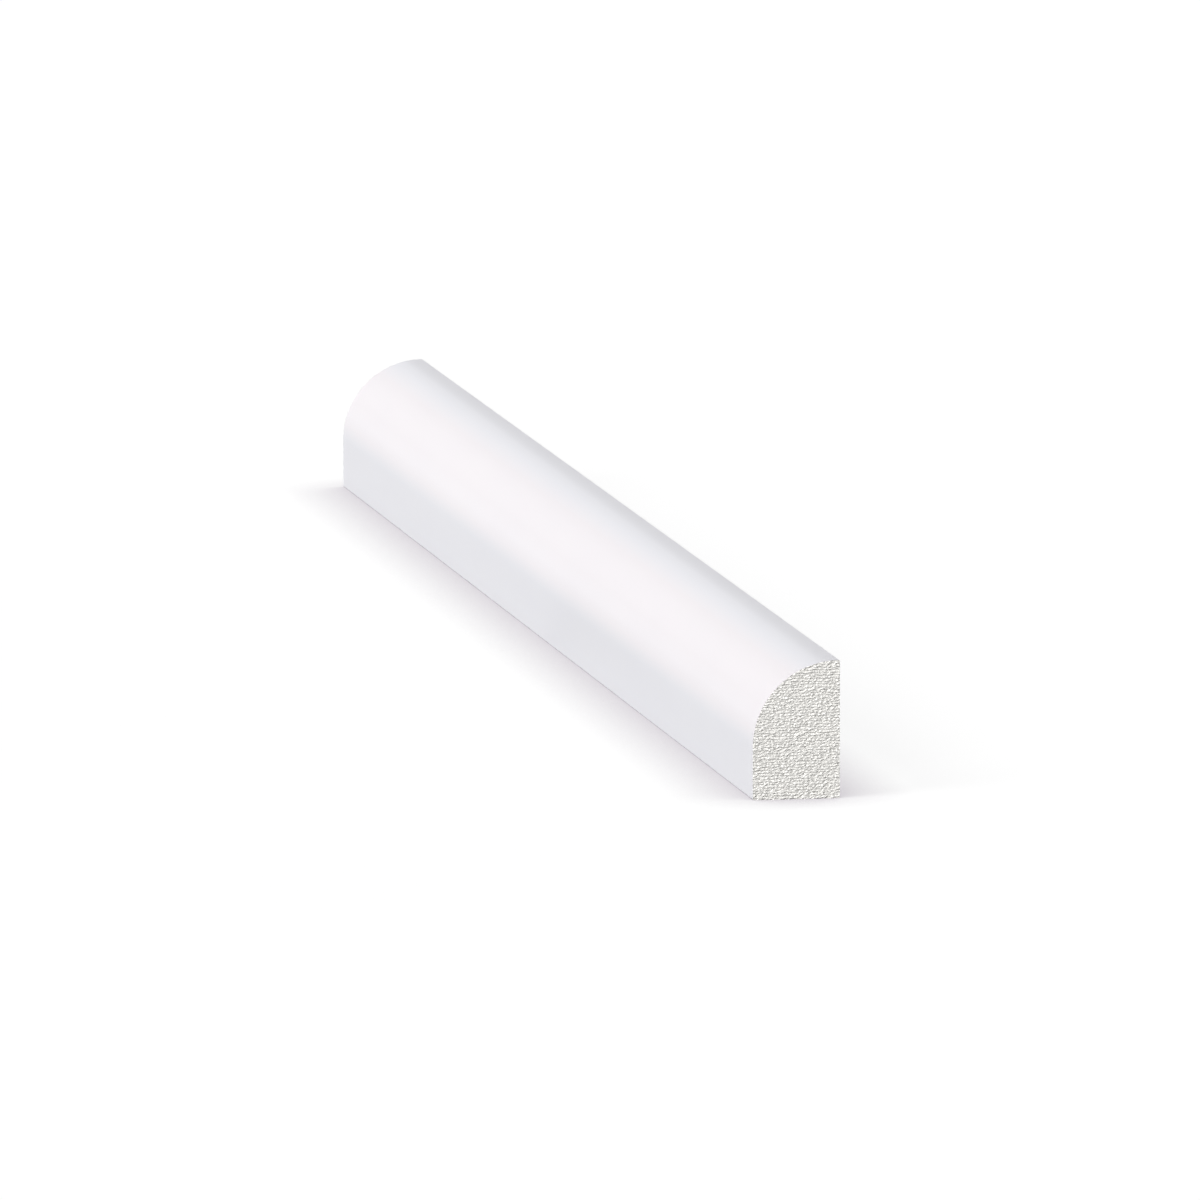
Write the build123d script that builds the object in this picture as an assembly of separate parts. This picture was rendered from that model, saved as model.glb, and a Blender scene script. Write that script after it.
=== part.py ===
from build123d import *
import os

# Shoe moulding: one square-cut length of white cellular PVC trim, extruded in one piece.
# It stands on its bottom face, as it does on the floor against a baseboard.
# Sizes are in millimetres. The origin is the middle of the bottom face, +X points to
# the wall, +Y runs along the stick and +Z is up.

# The stick
length = 304.8  # 12 in cut, end to end
width = 11.1125  # 7/16 in, from the front to the wall
height = 17.4625  # 11/16 in, from the floor to the top

# The section
riser_height = 6.6  # upright flat at the front, below the rounded face
top_land = 0.25  # narrow flat on top, where the moulding meets the wall
toe_arris = 0.15  # easing of the long edge between the riser and the floor
heel_arris = 0.15  # easing of the long edge between the wall and the floor
crown_arris = 0.1  # easing of the long edge between the top land and the wall


def corner(sketch, x, y):
    """The vertex of a sketch nearest to a point of its plane."""
    return sketch.vertices().sort_by_distance((x, y, 0))[0]


def moulding_section():
    """The section: riser, rounded face, top land, wall side and bottom, with eased edges.

    The face is a quarter ellipse, tangent to the riser and to the top land. Its run and
    rise are equal at the sizes above, which makes it a true quarter round.
    """
    front = -width / 2
    wall = width / 2
    face_run = width - top_land
    face_rise = height - riser_height
    land_start = front + face_run

    with BuildSketch() as section:
        with BuildLine():
            Line((front, 0), (front, riser_height))
            EllipticalCenterArc((land_start, riser_height), face_run, face_rise, 90, arc_size=90)
            Line((land_start, height), (wall, height))
            Line((wall, height), (wall, 0))
            Line((wall, 0), (front, 0))
        make_face()
        fillet(corner(section, front, 0), toe_arris)
        fillet(corner(section, wall, 0), heel_arris)
        fillet(corner(section, wall, height), min(crown_arris, top_land / 2))
    return section.sketch


def moulding():
    """The stick: the section run out to both sides of the middle and cut square."""
    standing_section = Plane.XZ * moulding_section()
    return extrude(standing_section, amount=length / 2, both=True)


os.makedirs("parts", exist_ok=True)
shoe_moulding = moulding()
shoe_moulding.label = "shoe_moulding"
export_step(shoe_moulding, "parts/shoe_moulding.step")
print("shoe_moulding", shoe_moulding.bounding_box(), "volume", round(shoe_moulding.volume, 1), "mm3")
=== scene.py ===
import math
import bmesh
import bpy
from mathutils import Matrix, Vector


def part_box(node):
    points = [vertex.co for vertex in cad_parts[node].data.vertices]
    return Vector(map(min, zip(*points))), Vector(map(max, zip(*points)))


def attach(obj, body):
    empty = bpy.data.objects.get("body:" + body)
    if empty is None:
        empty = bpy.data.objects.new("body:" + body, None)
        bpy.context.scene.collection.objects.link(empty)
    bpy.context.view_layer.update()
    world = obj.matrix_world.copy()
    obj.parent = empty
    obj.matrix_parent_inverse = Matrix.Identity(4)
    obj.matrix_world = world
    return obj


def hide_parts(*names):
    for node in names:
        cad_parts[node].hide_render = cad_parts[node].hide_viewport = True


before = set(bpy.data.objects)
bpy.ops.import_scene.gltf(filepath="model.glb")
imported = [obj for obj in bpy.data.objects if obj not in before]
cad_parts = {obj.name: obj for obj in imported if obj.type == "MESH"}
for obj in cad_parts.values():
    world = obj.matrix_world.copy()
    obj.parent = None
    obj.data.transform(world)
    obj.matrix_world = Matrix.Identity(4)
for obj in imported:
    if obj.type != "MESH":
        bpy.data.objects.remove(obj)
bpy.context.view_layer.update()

# Sizes are in metres and angles in degrees. The outside sizes come from the shoe_moulding part in
# model.glb.
MM = 0.001
LOW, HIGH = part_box("shoe_moulding")
WIDTH = HIGH.x - LOW.x
LENGTH = HIGH.y - LOW.y
HEIGHT = HIGH.z - LOW.z

# The section
TOP_LAND = 0.25 * MM
FACE_RADIUS = WIDTH - TOP_LAND
HEEL_ARRIS = 0.15 * MM
TOE_ARRIS = 0.15 * MM
CROWN_ARRIS = 0.1 * MM
FACE_FACETS = 64
ARRIS_FACETS = 5

# Points closer than WELD are one point
WELD = 0.002 * MM
CUT_CLOSENESS = WELD / 10

# A face is on a cut end when its normal lies at least this much along the stick
END_ON = 0.5

# Edges turned by more than CUT_EDGE are marked sharp, and the others are smooth up to SOFT_EDGE
CUT_EDGE = 60
SOFT_EDGE = 75

# The torn cells that the saw leaves on the two ends, as real relief on a mesh of END_CELL
END_CELL = 0.062 * MM
GRAIN_LONG = 0.28 * MM
GRAIN_HIGH = 0.17 * MM
GRAIN_DEPTH = 0.19 * MM

# The finer ridges laid over them as bump. A wave texture of scale 1 repeats every WAVE_PITCH.
WAVE_PITCH = math.pi / 10
RIDGE_PITCH = 0.36 * MM
RIDGE_WANDER = 0.42 * MM
RIDGE_HEIGHT = 0.11 * MM
RIDGE_DISTORTION = 5
RIDGE_DETAIL = 2

# The cut foam: cream on its crests, with painted shade darkening its slopes and pits, and some of
# its cells darker than others
CREST_COLOUR = (0.98, 0.965, 0.93)
PAINTED_SLOPE_SHADE = (0.965, 0.95, 0.915)
PAINTED_PIT_SHADE = (0.92, 0.905, 0.87)
DARK_CELL = (0.85, 0.85, 0.85)
CELL_SIZE = (0.28 * MM, 0.28 * MM, 0.15 * MM)
FOAM_ROUGHNESS = 0.85

# The skin's white with painted light: a cool painted shade on the riser and the back, rosy painted
# light on the round face, a painted highlight low on it and painted shade along the crown. The back
# is what lies within BACK_SKIN of the +X side.
COOL_SHADE_WHITE = (0.906, 0.905, 0.942)
PAINTED_HIGHLIGHT_WHITE = (0.934, 0.905, 0.93)
WARM_LIT_WHITE = (0.902, 0.869, 0.891)
CROWN_SHADE_WHITE = (0.835, 0.832, 0.867)
BACK_SKIN = 0.02 * MM

# The skin's surface: faint clouds, lines from the die and a soft orange peel
CLOUD_SIZE = (9 * MM, 40 * MM, 9 * MM)
CLOUD_SHADE = (0.985, 0.985, 0.99)
DIE_LINE_SIZE = (0.5 * MM, 400 * MM, 0.5 * MM)
DIE_LINE_HEIGHT = 0.002 * MM
PEEL_SIZE = (0.9 * MM, 1.6 * MM, 0.9 * MM)
PEEL_HEIGHT = 0.003 * MM
SKIN_BUMP = 0.5
SKIN_ROUGHNESS = (0.5, 0.62)

# What both finishes share
SHEEN = 0.12
UNSHADED = (1, 1, 1)

# The photograph's view
VIEW_TURN = -10.32
VIEW_RISE = 7.82
VIEW_DISTANCE = 3.1052
VIEW_LENS = 707.2
VIEW_AIM = Vector((2.71 * MM, 0, 4.56 * MM))

# The studio
FLOOR_SIZE = 40
FLOOR_GAP = 0.01 * MM
PAPER = (0.2, 0.2, 0.2)
PAPER_BOUNCE = (0.12, 0.12, 0.12)
PAPER_GLOW = (0.863, 0.863, 0.863)
# The seen glow falls towards SHADED_GLOW within CONTACT_REACH of the stick: a painted contact shadow
SHADED_GLOW = (0.19, 0.135, 0.2)
CONTACT_REACH = 11 * MM
CONTACT_SAMPLES = 8
ROOM_LIGHT = 0.18


def let_go_of_everything():
    """Leaves object mode with nothing selected."""
    if bpy.context.object and bpy.context.object.mode != "OBJECT":
        bpy.ops.object.mode_set(mode="OBJECT")
    bpy.ops.object.select_all(action="DESELECT")


def take(piece):
    """Makes a piece the only one selected."""
    let_go_of_everything()
    piece.select_set(True)
    bpy.context.view_layer.objects.active = piece


def select_faces(piece, wanted):
    """In edit mode, selects only the faces that wanted(face) is true for."""
    bpy.ops.mesh.select_mode(type="FACE")
    bpy.ops.mesh.select_all(action="DESELECT")
    bpy.ops.object.mode_set(mode="OBJECT")
    for face in piece.data.polygons:
        face.select = wanted(face)
    bpy.ops.object.mode_set(mode="EDIT")


def cut_away(point, outward):
    """Slices the sheet along a line and drops what lies outside it."""
    bpy.ops.mesh.select_all(action="SELECT")
    bpy.ops.mesh.bisect(plane_co=point, plane_no=outward, clear_outer=True, threshold=CUT_CLOSENESS)


def round_off(x, z, radius, first, last, facets):
    """Rounds one corner of the section, with its arc centred on x, z, from angle first to last."""
    step = (last - first) / facets
    reach = radius * math.cos(math.radians(step) / 2)
    for k in range(facets):
        angle = math.radians(first + (k + 0.5) * step)
        outward = Vector((math.cos(angle), 0, math.sin(angle)))
        cut_away(Vector((x, LOW.y, z)) + reach * outward, outward)


def moulding_stick():
    """The stick: a fine sheet cut to the section, drawn out to its length."""
    let_go_of_everything()
    bpy.ops.mesh.primitive_grid_add(
        x_subdivisions=round(WIDTH / END_CELL),
        y_subdivisions=round(HEIGHT / END_CELL),
        size=1,
        location=((LOW.x + HIGH.x) / 2, LOW.y, (LOW.z + HIGH.z) / 2),
        rotation=(math.radians(90), 0, 0),
    )
    stick = bpy.context.object
    stick.name = "moulding_stick"
    stick.scale = (WIDTH, HEIGHT, 1)
    bpy.ops.object.transform_apply(location=True, rotation=True, scale=True)

    bpy.ops.object.mode_set(mode="EDIT")
    round_off(LOW.x + FACE_RADIUS, HIGH.z - FACE_RADIUS, FACE_RADIUS, 90, 180, FACE_FACETS)
    round_off(LOW.x + TOE_ARRIS, LOW.z + TOE_ARRIS, TOE_ARRIS, 180, 270, ARRIS_FACETS)
    round_off(HIGH.x - HEEL_ARRIS, LOW.z + HEEL_ARRIS, HEEL_ARRIS, 270, 360, ARRIS_FACETS)
    round_off(HIGH.x - CROWN_ARRIS, HIGH.z - CROWN_ARRIS, CROWN_ARRIS, 0, 90, ARRIS_FACETS)
    bpy.ops.mesh.select_all(action="SELECT")
    bpy.ops.mesh.remove_doubles(threshold=WELD)
    bpy.ops.mesh.select_all(action="SELECT")
    bpy.ops.mesh.extrude_region_move(TRANSFORM_OT_translate={"value": (0, LENGTH, 0)})
    bpy.ops.mesh.select_all(action="SELECT")
    bpy.ops.mesh.normals_make_consistent(inside=False)
    settle_order(stick)
    return stick


def is_cut_end(face):
    return abs(face.normal.y) > END_ON


def settle_order(stick):
    """Sorts the long faces round the section, since extruding leaves their order to chance."""
    mesh = bmesh.from_edit_mesh(stick.data)
    mesh.faces.index_update()

    def rank(face):
        if is_cut_end(face):
            return face.index
        middle = face.calc_center_median()
        return len(mesh.faces) + math.atan2(middle.z - (LOW.z + HIGH.z) / 2, middle.x)

    mesh.faces.sort(key=rank)
    bmesh.update_edit_mesh(stick.data)


def give_finishes(stick, skin, sawn):
    """Puts the skin on the long faces and the sawn finish on the two ends."""
    for finish in (skin, sawn):
        stick.data.materials.append(finish)
    select_faces(stick, is_cut_end)
    stick.active_material_index = 1
    bpy.ops.object.material_slot_assign()


def mark_end(stick, name, side):
    """A vertex group of the points of one cut end: side is -1 for the near end and 1 for the far."""
    select_faces(stick, lambda face: face.normal.y * side > END_ON)
    bpy.ops.object.vertex_group_add()
    stick.vertex_groups.active.name = name
    bpy.ops.object.vertex_group_assign()


def press_grain(stick, name, side, texture, scale_guide):
    """Sinks the saw's grain into one cut end, never past the end's plane."""
    bpy.ops.object.modifier_add(type="DISPLACE")
    grain = stick.modifiers[-1]
    grain.vertex_group = name
    grain.texture = texture
    grain.texture_coords = "OBJECT"
    grain.texture_coords_object = scale_guide
    grain.direction = "Y"
    grain.mid_level = 0
    grain.strength = -side * GRAIN_DEPTH
    bpy.ops.object.modifier_apply(modifier=grain.name)


def saw_ends(stick):
    """The torn cells that a saw leaves on foamed plastic, as real relief on both ends."""
    mark_end(stick, "near_cut", -1)
    mark_end(stick, "far_cut", 1)
    bpy.ops.mesh.select_all(action="DESELECT")
    bpy.ops.mesh.edges_select_sharp(sharpness=math.radians(CUT_EDGE))
    bpy.ops.mesh.mark_sharp()

    let_go_of_everything()
    bpy.ops.object.empty_add(location=(0, 0, 0))
    scale_guide = bpy.context.object
    scale_guide.scale = (GRAIN_LONG, GRAIN_HIGH, GRAIN_HIGH)
    bpy.context.view_layer.update()
    torn_cells = bpy.data.textures.new("torn_cells", "CLOUDS")
    torn_cells.noise_scale = 1
    torn_cells.noise_depth = 0

    take(stick)
    bpy.ops.object.shade_smooth_by_angle(angle=math.radians(SOFT_EDGE), keep_sharp_edges=True)
    press_grain(stick, "near_cut", -1, torn_cells, scale_guide)
    press_grain(stick, "far_cut", 1, torn_cells, scale_guide)
    bpy.data.objects.remove(scale_guide)


def emptied_tree(owner, output_type):
    """The node tree of a material or world with nothing but its output, and its surface socket."""
    owner.use_nodes = True
    tree = owner.node_tree
    tree.nodes.clear()
    return tree, tree.nodes.new(output_type).inputs["Surface"]


def new_finish(name):
    """A material with its node tree, its surface shader and its object coordinates in metres."""
    material = bpy.data.materials.new(name)
    tree, surface = emptied_tree(material, "ShaderNodeOutputMaterial")
    shader = tree.nodes.new("ShaderNodeBsdfPrincipled")
    shader.inputs["Specular IOR Level"].default_value = SHEEN
    tree.links.new(shader.outputs["BSDF"], surface)
    return material, tree, shader, tree.nodes.new("ShaderNodeTexCoord").outputs["Object"]


def coordinate(tree, place, axis):
    """One of a place's X, Y and Z."""
    parts = tree.nodes.new("ShaderNodeSeparateXYZ")
    tree.links.new(place, parts.inputs["Vector"])
    return parts.outputs[axis]


def noise(tree, place, blob_size, detail):
    """A noise whose blobs are blob_size metres long on each axis."""
    mapping = tree.nodes.new("ShaderNodeMapping")
    mapping.inputs["Scale"].default_value = [1 / size for size in blob_size]
    tree.links.new(place, mapping.inputs["Vector"])
    pattern = tree.nodes.new("ShaderNodeTexNoise")
    pattern.inputs["Scale"].default_value = 1
    pattern.inputs["Detail"].default_value = detail
    tree.links.new(mapping.outputs["Vector"], pattern.inputs["Vector"])
    return pattern.outputs["Fac"]


def worked_out(tree, operation, *values):
    """One step of arithmetic on numbers and the outputs of other nodes."""
    node = tree.nodes.new("ShaderNodeMath")
    node.operation = operation
    for socket, value in zip(node.inputs, values):
        if isinstance(value, (int, float)):
            socket.default_value = value
        else:
            tree.links.new(value, socket)
    return node.outputs["Value"]


def stretched(tree, value, before, after=(0, 1)):
    """Stretches a value from one range onto another."""
    node = tree.nodes.new("ShaderNodeMapRange")
    node.inputs["From Min"].default_value = before[0]
    node.inputs["From Max"].default_value = before[1]
    node.inputs["To Min"].default_value = after[0]
    node.inputs["To Max"].default_value = after[1]
    tree.links.new(value, node.inputs["Value"])
    return node.outputs["Result"]


def ramp(tree, value, stops):
    """Turns a value into a colour through the stops, each a place and a colour."""
    node = tree.nodes.new("ShaderNodeValToRGB")
    elements = node.color_ramp.elements
    elements[0].position = stops[0][0]
    elements[0].color = (*stops[0][1], 1)
    elements[1].position = stops[-1][0]
    elements[1].color = (*stops[-1][1], 1)
    for position, colour in stops[1:-1]:
        elements.new(position).color = (*colour, 1)
    tree.links.new(value, node.inputs["Fac"])
    return node.outputs["Color"]


def multiplied(tree, first, second):
    """One colour times another."""
    node = tree.nodes.new("ShaderNodeMix")
    node.data_type = "RGBA"
    node.blend_type = "MULTIPLY"
    node.inputs["Factor"].default_value = 1
    tree.links.new(first, node.inputs["A"])
    tree.links.new(second, node.inputs["B"])
    return node.outputs["Result"]


def bump(tree, height, distance, strength, below=None):
    """A bump of that height, laid over the one below it."""
    node = tree.nodes.new("ShaderNodeBump")
    node.inputs["Distance"].default_value = distance
    node.inputs["Strength"].default_value = strength
    tree.links.new(height, node.inputs["Height"])
    if below is not None:
        tree.links.new(below, node.inputs["Normal"])
    return node.outputs["Normal"]


def skin_white_with_painted_light(tree, place):
    """The skin's white by its height on the front, with painted light: cool painted shade on the
    riser, a painted highlight low on the round face, rosy painted light over it and painted shade
    along the crown; the riser's cool white all over the back.
    """
    up = stretched(tree, coordinate(tree, place, "Z"), (LOW.z, HIGH.z))
    on_front = worked_out(tree, "LESS_THAN", coordinate(tree, place, "X"), HIGH.x - BACK_SKIN)
    return ramp(
        tree,
        worked_out(tree, "MULTIPLY", up, on_front),
        [
            (0.4, COOL_SHADE_WHITE),
            (0.5, PAINTED_HIGHLIGHT_WHITE),
            (0.58, PAINTED_HIGHLIGHT_WHITE),
            (0.68, WARM_LIT_WHITE),
            (0.9, WARM_LIT_WHITE),
            (0.965, COOL_SHADE_WHITE),
            (0.985, COOL_SHADE_WHITE),
            (1, CROWN_SHADE_WHITE),
        ],
    )


def extruded_skin():
    """The smooth satin skin: faint lines along the stick from the die, and a soft orange peel."""
    material, tree, shader, place = new_finish("extruded_skin")
    die_lines = noise(tree, place, DIE_LINE_SIZE, detail=3)
    peel = noise(tree, place, PEEL_SIZE, detail=1)
    cloudiness = noise(tree, place, CLOUD_SIZE, detail=2)
    clouds = ramp(tree, cloudiness, [(0.3, CLOUD_SHADE), (0.7, UNSHADED)])
    # The base colour carries the skin's painted light and shade by height
    colour = multiplied(tree, skin_white_with_painted_light(tree, place), clouds)
    tree.links.new(colour, shader.inputs["Base Color"])
    roughness = stretched(tree, die_lines, (0, 1), SKIN_ROUGHNESS)
    tree.links.new(roughness, shader.inputs["Roughness"])
    lined = bump(tree, die_lines, DIE_LINE_HEIGHT, SKIN_BUMP)
    peeled = bump(tree, peel, PEEL_HEIGHT, SKIN_BUMP, below=lined)
    tree.links.new(peeled, shader.inputs["Normal"])
    return material


def saw_ridges(tree, place):
    """Fine level ridges that wander, one above the other."""
    ridges = tree.nodes.new("ShaderNodeTexWave")
    ridges.bands_direction = "Z"
    ridges.inputs["Scale"].default_value = WAVE_PITCH / RIDGE_PITCH
    ridges.inputs["Distortion"].default_value = RIDGE_DISTORTION
    ridges.inputs["Detail"].default_value = RIDGE_DETAIL
    ridges.inputs["Detail Scale"].default_value = RIDGE_PITCH / (WAVE_PITCH * RIDGE_WANDER)
    tree.links.new(place, ridges.inputs["Vector"])
    return ridges.outputs["Fac"]


def sawn_foam():
    """The cut ends: open foam cells, cream on their crests and darkened in their pits by painted
    shade.
    """
    material, tree, shader, place = new_finish("sawn_foam")
    # Painted shade: the colour darkens with depth below the end's plane, into the pits of the relief
    from_middle = worked_out(tree, "ABSOLUTE", coordinate(tree, place, "Y"))
    depth = stretched(tree, from_middle, (LENGTH / 2, LENGTH / 2 - GRAIN_DEPTH))
    colour_with_painted_pit_shade = ramp(tree, depth, [(0.2, CREST_COLOUR), (0.5, PAINTED_SLOPE_SHADE), (0.85, PAINTED_PIT_SHADE)])
    cells = noise(tree, place, CELL_SIZE, detail=0)
    cell_colour = ramp(tree, cells, [(0.36, DARK_CELL), (0.5, UNSHADED)])
    tree.links.new(multiplied(tree, colour_with_painted_pit_shade, cell_colour), shader.inputs["Base Color"])
    shader.inputs["Roughness"].default_value = FOAM_ROUGHNESS
    ridged = bump(tree, saw_ridges(tree, place), RIDGE_HEIGHT, 1)
    tree.links.new(ridged, shader.inputs["Normal"])
    return material


def seen_directly(tree):
    """One for rays from the camera, mirrors and glass, and nought for the light on surfaces."""
    rays = tree.nodes.new("ShaderNodeLightPath").outputs
    mirrored = worked_out(tree, "MAXIMUM", rays["Is Camera Ray"], rays["Is Glossy Ray"])
    return worked_out(tree, "MAXIMUM", mirrored, rays["Is Transmission Ray"])


def floor_paper():
    """Paper whose seen side glows white, darkened close to the stick by a painted contact shadow,
    and which throws little light back up."""
    material = bpy.data.materials.new("floor_paper")
    tree, surface = emptied_tree(material, "ShaderNodeOutputMaterial")
    both = tree.nodes.new("ShaderNodeAddShader")
    paper = tree.nodes.new("ShaderNodeBsdfDiffuse")
    glow = tree.nodes.new("ShaderNodeEmission")
    seen = seen_directly(tree)
    contact = tree.nodes.new("ShaderNodeAmbientOcclusion")
    contact.samples = CONTACT_SAMPLES
    contact.inputs["Distance"].default_value = CONTACT_REACH
    glow_with_painted_contact_shadow = ramp(tree, contact.outputs["AO"], [(0, SHADED_GLOW), (1, PAPER_GLOW)])
    tree.links.new(ramp(tree, seen, [(0, PAPER_BOUNCE), (1, PAPER)]), paper.inputs["Color"])
    tree.links.new(glow_with_painted_contact_shadow, glow.inputs["Color"])
    tree.links.new(seen, glow.inputs["Strength"])
    tree.links.new(paper.outputs["BSDF"], both.inputs[0])
    tree.links.new(glow.outputs["Emission"], both.inputs[1])
    tree.links.new(both.outputs["Shader"], surface)
    return material


def pale_floor():
    """A plain pale floor that stays white to the eye, keeps the stick's real soft shadow and adds a
    painted contact shadow round it.
    """
    let_go_of_everything()
    bpy.ops.mesh.primitive_plane_add(size=FLOOR_SIZE, location=(0, 0, LOW.z - FLOOR_GAP))
    floor = bpy.context.object
    floor.name = "floor"
    floor.data.materials.append(floor_paper())


def white_background(tree, strength):
    background = tree.nodes.new("ShaderNodeBackground")
    background.inputs["Color"].default_value = (1, 1, 1, 1)
    background.inputs["Strength"].default_value = strength
    return background.outputs["Background"]


def white_room():
    """The world: soft light all round, and plain white where it is seen."""
    world = bpy.data.worlds.new("white_room")
    bpy.context.scene.world = world
    tree, surface = emptied_tree(world, "ShaderNodeOutputWorld")
    chosen = tree.nodes.new("ShaderNodeMixShader")
    tree.links.new(seen_directly(tree), chosen.inputs["Fac"])
    tree.links.new(white_background(tree, ROOM_LIGHT), chosen.inputs[1])
    tree.links.new(white_background(tree, 1), chosen.inputs[2])
    tree.links.new(chosen.outputs["Shader"], surface)


def direction(turn, rise):
    """The way from the stick to something: turn is from -Y towards +X, rise is from the floor."""
    turn = math.radians(turn)
    rise = math.radians(rise)
    flat = math.cos(rise)
    return Vector((math.sin(turn) * flat, -math.cos(turn) * flat, math.sin(rise)))


def stand_up(name, data, place, way):
    """Puts a lamp or camera at a place, looking back along the way."""
    stand = bpy.data.objects.new(name, data)
    bpy.context.scene.collection.objects.link(stand)
    stand.location = place
    stand.rotation_mode = "QUATERNION"
    stand.rotation_quaternion = way.to_track_quat("Z", "Y")
    return stand


def soft_lamp(name, turn, rise, level, softness):
    """A lamp so far off that it lights the whole stick alike. A level of 1 shows a colour that
    faces it as it is written."""
    lamp = bpy.data.lights.new(name, "SUN")
    lamp.energy = level * math.pi
    lamp.angle = math.radians(softness)
    way = direction(turn, rise)
    stand_up(name, lamp, way, way)


def photograph_camera():
    """The long-lens view of the photograph, low from the left of the near end."""
    lens = bpy.data.cameras.new("photograph_camera")
    lens.lens = VIEW_LENS
    way = direction(VIEW_TURN, VIEW_RISE)
    place = VIEW_AIM + way * VIEW_DISTANCE
    bpy.context.scene.camera = stand_up("photograph_camera", lens, place, way)


stick = moulding_stick()
give_finishes(stick, extruded_skin(), sawn_foam())
saw_ends(stick)
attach(stick, "root")
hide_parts("shoe_moulding")

pale_floor()
white_room()
soft_lamp("key", turn=-70, rise=35, level=0.65, softness=30)
soft_lamp("front", turn=-20, rise=10, level=0.8, softness=36)
soft_lamp("back", turn=140, rise=4, level=0.9, softness=8)
photograph_camera()
bpy.context.scene.view_settings.view_transform = "Standard"
